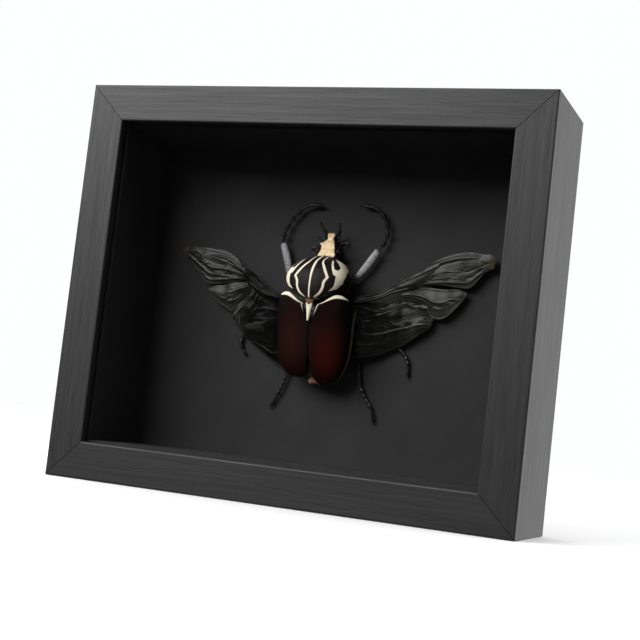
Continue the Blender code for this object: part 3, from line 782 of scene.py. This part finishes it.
def makeFeeler(name, way, replaces):  # a jointed stalk that ends in a club of three leaves
    flip = np.array([way, 1, 1])
    tuck = np.array([-2.2, -3.4, -3.5]) * max(0, -way)  # the left one is folded in beside the head
    stalk = smoothPath((np.array(head["feeler"]) + tuck * np.linspace(0, 1, 4)[:, None]) * flip, 60)
    beads = 0.42 + 0.14 * np.abs(np.sin(np.linspace(0, 6 * math.pi, 60)))
    parts = [limb(stalk, beads, sides=12)]
    leaf = np.sin(math.pi * np.clip(np.linspace(0, 1, 24), 0.03, 0.97)) ** 0.45
    for lift in (-0.62, 0.0, 0.62):
        club = smoothPath((np.array(head["club"]) + tuck + (0, lift * 0.5, lift)) * flip, 24)
        parts.append(limb(club, 0.95 * leaf, 0.36 * leaf, sides=16))
    makePiece(name, parts, [finishes["chitin"]], [replaces])


makeHead()
makeFeeler("feelerLeft", -1, "antenna_left")
makeFeeler("feelerRight", 1, "antenna_right")
print("head made")


# Six legs, each by its joints from the body outwards: hip, knee, heel, then points along the foot.

legs = {
    "front_left": [(-9.0, 13.0, 4.6), (-27.3, 19.0, 5.0), (-34.2, 39.0, 5.0), (-34.0, 45.0, 4.6),
                   (-32.0, 51.0, 4.4), (-26.8, 58.8, 4.2), (-20.0, 64.2, 4.2), (-11.0, 65.2, 4.0)],
    "front_right": [(8.0, 13.0, 4.6), (19.0, 20.0, 5.0), (31.2, 38.0, 5.0), (35.2, 44.0, 4.6),
                    (36.2, 50.6, 4.4), (33.8, 57.6, 4.2), (27.2, 64.2, 4.2), (18.2, 66.4, 4.0)],
    "middle_left": [(-19.4, -8.0, 2.4), (-38.0, -9.0, 2.4), (-56.0, -22.4, 2.2), (-57.2, -27.0, 2.0),
                    (-56.0, -31.0, 1.8), (-53.4, -34.6, 1.6)],
    "middle_right": [(19.4, -8.0, 2.4), (36.0, -10.0, 2.4), (50.2, -22.0, 2.2), (54.6, -25.6, 2.0),
                     (57.6, -31.0, 1.8), (58.4, -38.8, 1.6)],
    "hind_left": [(-20.0, -23.5, 2.4), (-21.4, -31.4, 2.4), (-22.4, -44.6, 2.8), (-24.0, -51.0, 2.6),
                  (-27.4, -59.4, 2.2), (-30.6, -66.0, 1.8)],
    "hind_right": [(19.2, -22.0, 2.6), (26.0, -31.0, 2.6), (28.6, -48.0, 2.8), (32.0, -54.4, 2.6),
                   (37.6, -62.4, 2.2), (39.2, -69.0, 1.8)],
}
legShape = {
    "front": {"femur": (1.9, 2.5, 1.6), "shin": (2.1, 2.5, 2.5), "depth": 0.42, "foot": 1.95},
    "middle": {"femur": (1.7, 2.1, 1.2), "shin": (0.9, 1.2, 1.6), "depth": 0.8, "foot": 1.55},
    "hind": {"femur": (1.6, 1.9, 1.2), "shin": (0.9, 1.2, 1.6), "depth": 0.8, "foot": 1.55},
}
footJoints = [0.0, 0.17, 0.33, 0.48, 0.63, 1.0]  # where the foot's five joints lie along it
clawHook = np.array([(0, 0), (0.9, 0.5), (1.8, 0.75), (2.5, 0.5), (2.9, 0.1)])  # ahead and aside


def spike(start, way, length, width, finish=0):  # a curved thorn
    along = np.linspace(0, 1, 10)[:, None]
    path = np.asarray(start) + np.asarray(way) * length * along + np.array([0, 0, 0.15 * length]) * along ** 2
    return limb(path, width * (1 - along[:, 0]) ** 0.7 + 0.02, sides=8, finish=finish)


def makeLeg(name, joints):
    joints = np.array(joints)
    kind = legShape[name.split("_")[0]]
    outward = -1.0 if name.endswith("left") else 1.0
    label = "".join(word.capitalize() for word in name.split("_"))
    along = np.linspace(0, 1, 36)

    hip, knee, heel = joints[:3]  # thigh: a flattened spindle
    run = hip + (knee - hip) * along[:, None]
    wide = through([0, 0.45, 1], kind["femur"], along) * np.sin(math.pi * np.clip(along, 0.04, 0.97)) ** 0.25
    makePiece("thigh" + label, [limb(run, wide, wide * 0.7, sides=20)], [finishes["chitin"]],
              ["femur_" + name])

    bow = unit(np.cross(heel - knee, (0, 0, 1))) * outward
    run = knee + (heel - knee) * along[:, None] + bow * (0.6 * np.sin(math.pi * along))[:, None] * outward
    wide = through([0, 0.5, 1], kind["shin"], along) * np.sin(math.pi * np.clip(along, 0.012, 0.988)) ** 0.1
    deep = wide * kind["depth"]
    front = name.startswith("front")
    tan = (0.9 * step(0.93, 1.0, along) + 0.8 * step(0.06, 0.0, along))[:, None] * np.ones(20)
    parts = [limb(run, wide, deep, sides=20, values={"tan": tan})]
    ahead = unit(heel - knee)
    aside = unit(np.cross(ahead, (0, 0, 1)))
    for where in ((0.35, 0.62, 0.9) if front else (0.55,)):
        for side in ((1,) if front else (-1, 1)):
            row = int(where * (len(run) - 1))
            spot = run[row] + aside * side * outward * wide[row] * 0.7
            thorn = unit(ahead * 0.7 + aside * side * outward * 0.8)
            parts.append(spike(spot, thorn, 1.5 if front else 1.1, 0.42, 1))
    for side in (-1, 1):
        spot = heel - ahead * 0.8 + aside * side * 0.9
        parts.append(spike(spot, unit(ahead + aside * side * 0.5), 2.2, 0.3, 1))
    makePiece("shin" + label, parts, [finishes["bloom" if front else "chitin"], finishes["chitin"]],
              ["tibia_" + name])

    along = np.linspace(0, 1, 150)  # foot: five flared joints and two hooked claws
    run = smoothPath(np.concatenate([[heel + ahead * 0.3], joints[3:]]), 150)
    joint = np.clip(np.searchsorted(footJoints, along, side="right") - 1, 0, 4)
    within = (along - np.array(footJoints)[joint]) / np.diff(footJoints)[joint]
    wide = kind["foot"] * (0.40 + 0.84 * within ** 1.6 * (1 - within ** 9))
    wide = np.where(joint == 4, kind["foot"] * (0.48 + 0.36 * within ** 2 * (1 - within ** 12)), wide)
    parts = [limb(run, wide, wide * 0.85, sides=16)]
    ahead = unit(run[-1] - run[-8])
    aside = unit(np.cross(ahead, (0, 0, 1)))
    for where in footJoints[1:5]:  # a pair of bristles at each joint
        row = int(where * (len(run) - 1))
        spot = run[row]
        forward = unit(run[min(row + 4, len(run) - 1)] - run[row - 4])
        beside = unit(np.cross(forward, (0, 0, 1)))
        for side in (-1, 1):
            parts.append(spike(spot + beside * side * 0.5, unit(forward + beside * side * 0.6), 1.2, 0.12))
    for side in (-1, 1):
        points = (run[-1] + ahead * clawHook[:, :1] * 0.85 + aside * side * clawHook[:, 1:] * 1.2
                  + np.array([0, 0, -0.1]) * clawHook[:, :1])
        parts.append(limb(smoothPath(points, 20), 0.3 * (1 - np.linspace(0, 1, 20)) ** 0.6 + 0.03, sides=10))
    makePiece("foot" + label, parts, [finishes["chitin"]], ["tarsus_" + name])


for name, joints in legs.items():
    makeLeg(name, joints)
print("legs made")


# The hind wings are spread under the wing cases.

# Each wing is a few sheets that overlap like a half-folded fan. A sheet lies between a front and
# a rear line, given in x away from the body and z; folds run out along it. Its traits are its lift,
# how deep it crumples, how high its creases stand, how pale it is, how bright the painted highlight
# on its rim and the painted shine on its outer rear corner are, how much painted shade it has near
# the body, and its numbers of creases and folds.
sheetTraits = ("lift", "deep", "sharp", "pale", "rim", "shine", "dark", "creases", "folds")
wings = {
    "left": {
        "strip": {"front": [(21, 5.5), (33.5, 6.8), (44, 12.5), (52, 18.4), (60.5, 21.6)],
                  "rear": [(21, 1.5), (35, 2.6), (46, 4.6), (53, 8.5), (58, 13.5)],
                  "traits": (1.2, 0.6, 1.1, 0.12, 0.4, 0.0, 0.9, 7, 4)},
        "blade": {"front": [(55, 16), (62, 24.0), (72, 31), (82.5, 32.4),
                            (94.5, 32.8), (104.0, 32.2), (106.4, 30.2)],
                  "rear": [(55, 13), (65, 11.8), (75, 9.9), (84.2, 9.4),
                           (92.8, 17.3), (100, 24.2), (106.2, 29.4)],
                  "traits": (0.5, 0.9, 1.2, 0.22, 0.5, 0.1, 0.3, 11, 16)},
        "lobe": {"front": [(53, 12), (63.5, 11.3), (73.5, 8.9), (82, 7.2), (84, 5.4)],
                 "rear": [(53, 6), (60, -2), (66, -7.4), (70.2, -5), (74.4, -3), (80, 1.5), (83.6, 4.8)],
                 "traits": (0.1, 1.2, 0.8, 0.08, 0.7, 0.6, 0.75, 4, 5)},
        "flap": {"front": [(52, 9), (60, 3), (65.5, -5), (64.8, -9.8), (63.6, -12.5)],
                 "rear": [(44, 2), (48, -10), (52, -18), (55.3, -21.8), (60, -17), (63, -13.4)],
                 "traits": (-0.4, 1.4, 0.7, 0.0, 0.9, 0.3, 0.95, 4, 5)},
        "skirt": {"front": [(21, 2.5), (35, 3.4), (49, 5), (56, 1), (56.5, -12)],
                  "rear": [(21, -12), (24, -34), (31, -36.6), (38.6, -33.1), (48.9, -26.3), (55.4, -21.6)],
                  "traits": (-0.9, 1.8, 0.7, 0.0, 0.1, 0.0, 0.97, 6, 10)},
    },
    "right": {
        "strip": {"front": [(21, 6.6), (37.2, 12.0), (51.3, 20.8), (62.7, 26.5), (74, 33.2)],
                  "rear": [(21, 2.6), (32, 5.0), (44, 10.3), (56, 14.0), (66, 19.5)],
                  "traits": (1.2, 0.6, 1.1, 0.12, 0.4, 0.0, 0.3, 7, 4)},
        "blade": {"front": [(57, 20), (64, 29.0), (77.4, 36.8), (90.4, 39.9),
                            (99, 39.2), (106.4, 38.2), (107.6, 34)],
                  "rear": [(57, 17), (68, 18.2), (77.6, 18.5), (86, 17.8),
                           (92.8, 18.0), (98, 23.5), (102, 28.5), (107.2, 31)],
                  "traits": (0.5, 0.9, 1.2, 0.25, 0.4, 0.1, 0.0, 11, 14)},
        "lobe": {"front": [(50, 14), (63.2, 16.4), (77.3, 16.0), (88, 16.3), (91.4, 14.8)],
                 "rear": [(50, 8), (60, 6), (68, 2), (71.2, -1.5), (76, -2.4), (85.7, 5.2), (91.2, 13.2)],
                 "traits": (0.0, 1.0, 0.8, 0.1, 1.0, 0.6, 0.0, 4, 4)},
        "skirt": {"front": [(21, 4.2), (37.3, 5.0), (54.2, 11.8), (64, 12.5), (71.5, 3.0), (72.6, -1.5)],
                  "rear": [(21, -12), (24.5, -30.5), (36, -29), (45.5, -24.6),
                           (53.5, -20.8), (63.8, -13.2), (70.1, -8.6)],
                  "traits": (-0.8, 1.8, 0.8, 0.02, 0.1, 0.0, 0.7, 9, 14)},
    },
}
wingSheet = {"height": 5.3, "thickness": 0.12, "rows": 84, "columns": 108, "crumple": 0.34}


# The sheet is ruled between its two lines. Its height is a low arch, plus a slow crumple, plus a
# crest or a valley along each crease: a share of exp(-distance / reach), which gives a sharp line.
def wingPart(lines, way, seed):
    sheet = dict(zip(sheetTraits, lines["traits"]))
    rows, columns = wingSheet["rows"], wingSheet["columns"]
    along, across = np.meshgrid(np.linspace(0, 1, rows), np.linspace(0, 1, columns), indexing="ij")
    front, rear = smoothPath(lines["front"], rows)[:, None], smoothPath(lines["rear"], rows)[:, None]
    flat = front + (rear - front) * across[..., None]
    wide = np.linalg.norm(rear - front, axis=-1)
    x, z = flat[..., 0], flat[..., 1]
    draw = np.random.default_rng(seed)
    phase = draw.uniform(0, 2 * math.pi, 6)
    crumple = (np.sin(0.17 * x + 0.11 * z + phase[1]) * np.sin(0.15 * z - 0.08 * x + phase[2])
               + 0.35 * np.sin(0.43 * x - 0.37 * z + phase[3]) * np.sin(0.31 * z + 0.29 * x + phase[4]))
    height = wingSheet["height"] + sheet["lift"] + wingSheet["crumple"] * sheet["deep"] * crumple
    height = height + 0.9 * np.sin(math.pi * across) * np.sin(math.pi * along) ** 0.5
    height = height + 5.0 * step(42, 20, x)
    vein, glow = np.zeros_like(x), np.zeros_like(x)
    for number in range(sheet["creases"]):
        centre = (number + 0.5 + draw.uniform(-0.45, 0.45)) / sheet["creases"]
        centre = centre + draw.uniform(-0.08, 0.08) * along
        centre = centre + 0.025 * np.sin(draw.uniform(3, 9) * along + phase[number % 6])
        away = (across - centre) * wide
        strong = number % 4 == 1
        ends = draw.uniform(0.5, 1.1)
        fade = step(ends + 0.08, ends - 0.1, along) * np.minimum(1, wide / 6)
        tall = (0.6 if strong else draw.uniform(-0.3, 0.3)) * sheet["sharp"]
        height = height + tall * np.exp(-np.abs(away) / draw.uniform(0.35, 0.8)) * fade
        bright = 1.0 if strong else draw.uniform(-0.1, 0.6)
        bright = bright * (0.35 + 0.65 * bell(along, draw.uniform(0.2, 0.8), 0.3))
        # a painted highlight along the crest of the crease
        glow = np.maximum(glow, bright * bell(away, 0, 0.24 if strong else 0.15) * fade)
        # a dark line beside the crease: partly a vein, partly painted shade on the crease's flank
        vein = np.maximum(vein, 0.95 * bell(away, 0.6, 0.3) * fade)
    (startX, startZ), (endX, endZ) = lines["front"][0], lines["front"][-1]
    heading = math.atan2(endZ - startZ, endX - startX)
    for number in range(sheet["folds"]):  # short slanting folds where the sheet is crushed
        spotX, spotZ = flat[draw.integers(12, rows - 12), draw.integers(12, columns - 12)]
        tilt = heading + draw.uniform(-0.55, 0.55)
        run = (x - spotX) * math.cos(tilt) + (z - spotZ) * math.sin(tilt)
        away = (z - spotZ) * math.cos(tilt) - (x - spotX) * math.sin(tilt)
        away = away + 0.35 * np.sin(0.9 * run + phase[number % 6])
        share = bell(run, 0, draw.uniform(2, 5))
        tall = draw.uniform(-0.5, 0.7) * sheet["deep"]
        height = height + tall * np.exp(-np.abs(away) / draw.uniform(0.4, 1.1)) * share
        # a painted highlight along the crest of the fold
        glow = np.maximum(glow, draw.uniform(-0.2, 0.8) * bell(away, 0, 0.22) * share)
        # painted shade: a dark line on one flank of the fold
        vein = np.maximum(vein, 0.95 * bell(away, -0.7, 0.45) * share)
    height = np.maximum(height, 1.2)
    # a painted highlight along the rim; with the paler patches and the painted shine below, it goes into pale
    rim = np.maximum(bell(across, 1, 0.05) * sheet["rim"], bell(along, 1, 0.04) * sheet["rim"])
    patches = 0.55 + 0.45 * np.sin(0.21 * x + phase[0]) * np.sin(0.33 * z + phase[5])
    pale = np.clip(sheet["pale"] * patches * step(0.0, 0.8, along) + rim * step(0.2, 0.6, along)
                   + sheet["shine"] * step(0.45, 1.0, across) * step(0.3, 0.9, along), 0, 1)
    tan = 0.6 * step(98, 107, x)
    # painted shade near the body, by each sheet's dark trait, and a dark spot at the joint
    dusk = np.clip(step(64, 48, x) * sheet["dark"] + 0.95 * bell(x, 58.5, 4.2) * bell(z, 14.5, 4.5), 0, 0.95)
    return shell(np.stack([x * way, z, height], axis=-1), wingSheet["thickness"],
                 {"vein": vein, "glow": glow * (1 - 0.9 * dusk), "pale": pale * (1 - tan),
                  "tan": tan, "dusk": dusk})


for side, way in (("left", -1), ("right", 1)):
    firstSeed = 50 if way > 0 else 40
    parts = [wingPart(lines, way, firstSeed + number) for number, lines in enumerate(wings[side].values())]
    makePiece("hindwing" + side.capitalize() + "Sheets", parts, [finishes["membrane"]],
              ["hindwing_" + side])
print("wings made")


# A pale floor, one soft light from the upper left, a white room and the camera.

studio = {
    "floor": 3.0, "floorDrop": 0.0002, "target": (0.0, -0.03, 0.125),
    "keyAzimuth": -36, "keyElevation": 31, "keyDistance": 1.25, "keySize": (1.1, 0.7), "keyPower": 21.5,
    "cameraAt": (0.3030, -0.7296, 0.0516), "cameraAhead": (-0.374, 0.924, 0.079),
    "cameraUp": (-0.076, -0.116, 0.990), "lens": 72.28,
}


def makeFloor():
    half, low = studio["floor"], -studio["floorDrop"]
    mesh = bpy.data.meshes.new("floorSweep")
    mesh.from_pydata([(-half, -half, low), (half, -half, low), (half, half, low), (-half, half, low)],
                     [], [(0, 1, 2, 3)])
    material, tree, surface = newMaterial("paleFloor", {"Roughness": 0.8, "Specular IOR Level": 0.2})
    clouds = noise(tree, placeAt(tree), 3, 2)
    colour = ramp(tree, clouds, [(0.3, (0.86, 0.865, 0.875)), (0.7, (0.88, 0.885, 0.89))])
    paint(tree, surface, colour)
    mesh.materials.append(material)
    floor = bpy.data.objects.new("floorSweep", mesh)
    bpy.context.scene.collection.objects.link(floor)
    # The floor lights nothing: the room below the horizon lights the object in its place.
    floor.visible_diffuse = floor.visible_glossy = floor.visible_transmission = False


def makeSoftbox(name):
    turn, lift = math.radians(studio["keyAzimuth"]), math.radians(studio["keyElevation"])
    away = Vector((math.sin(turn) * math.cos(lift), -math.cos(turn) * math.cos(lift), math.sin(lift)))
    light = bpy.data.lights.new(name, "AREA")
    light.shape = "RECTANGLE"
    light.size, light.size_y = studio["keySize"]
    light.energy = studio["keyPower"]
    box = bpy.data.objects.new(name, light)
    box.location = Vector(studio["target"]) + away * studio["keyDistance"]
    box.rotation_mode = "QUATERNION"
    box.rotation_quaternion = (-away).to_track_quat("-Z", "Y")
    bpy.context.scene.collection.objects.link(box)
    return box


def makeWorld():  # a white room behind the object, a dimmer one in front
    world = bpy.data.worlds.new("whiteRoom")
    bpy.context.scene.world = world
    world.use_nodes = True
    tree = world.node_tree
    tree.nodes.clear()
    way = addNode(tree, "TexCoord").outputs["Generated"]
    parts = addNode(tree, "SeparateXYZ", {0: way})
    behind = sums(tree, "ADD", parts.outputs["Y"], sums(tree, "MULTIPLY", parts.outputs["X"], 0.35))
    light = mapped(tree, behind, 0.1, 0.45, 0.055, 1.25)
    above = mapped(tree, parts.outputs["Z"], 0.72, 0.9, 0.0, 1.9)
    below = mapped(tree, parts.outputs["Z"], -0.05, -0.25, 0.0, 0.09)
    light = sums(tree, "ADD", light, sums(tree, "ADD", above, below))
    seen = addNode(tree, "LightPath").outputs["Is Camera Ray"]
    dim = addNode(tree, "Background", {"Color": (1, 1, 1, 1), "Strength": light})
    white = addNode(tree, "Background", {"Color": (0.99, 0.995, 1.0, 1), "Strength": 1.0})
    both = addNode(tree, "MixShader", {0: seen, 1: dim.outputs[0], 2: white.outputs[0]})
    addNode(tree, "OutputWorld", {0: both.outputs[0]})


def makeCamera():
    ahead, up = Vector(studio["cameraAhead"]).normalized(), Vector(studio["cameraUp"])
    right = ahead.cross(up).normalized()
    up = right.cross(ahead)
    data = bpy.data.cameras.new("camera")
    data.lens, data.sensor_width = studio["lens"], 36
    data.clip_start, data.clip_end = 0.01, 50
    camera = bpy.data.objects.new("camera", data)
    turn = Matrix((right, up, -ahead)).transposed()
    camera.matrix_world = Matrix.Translation(studio["cameraAt"]) @ turn.to_4x4()
    bpy.context.scene.collection.objects.link(camera)
    bpy.context.scene.camera = camera


makeFloor()
key = makeSoftbox("keySoftbox")
unlit = bpy.data.collections.new("notLitByKey")  # so that the softbox isn't mirrored in the glass
unlit.objects.link(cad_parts["glass_pane"])
key.light_linking.receiver_collection = unlit
unlit.collection_objects[0].light_linking.link_state = "EXCLUDE"
makeWorld()
makeCamera()
bpy.context.scene.view_settings.view_transform = "Standard"
print("studio ready")
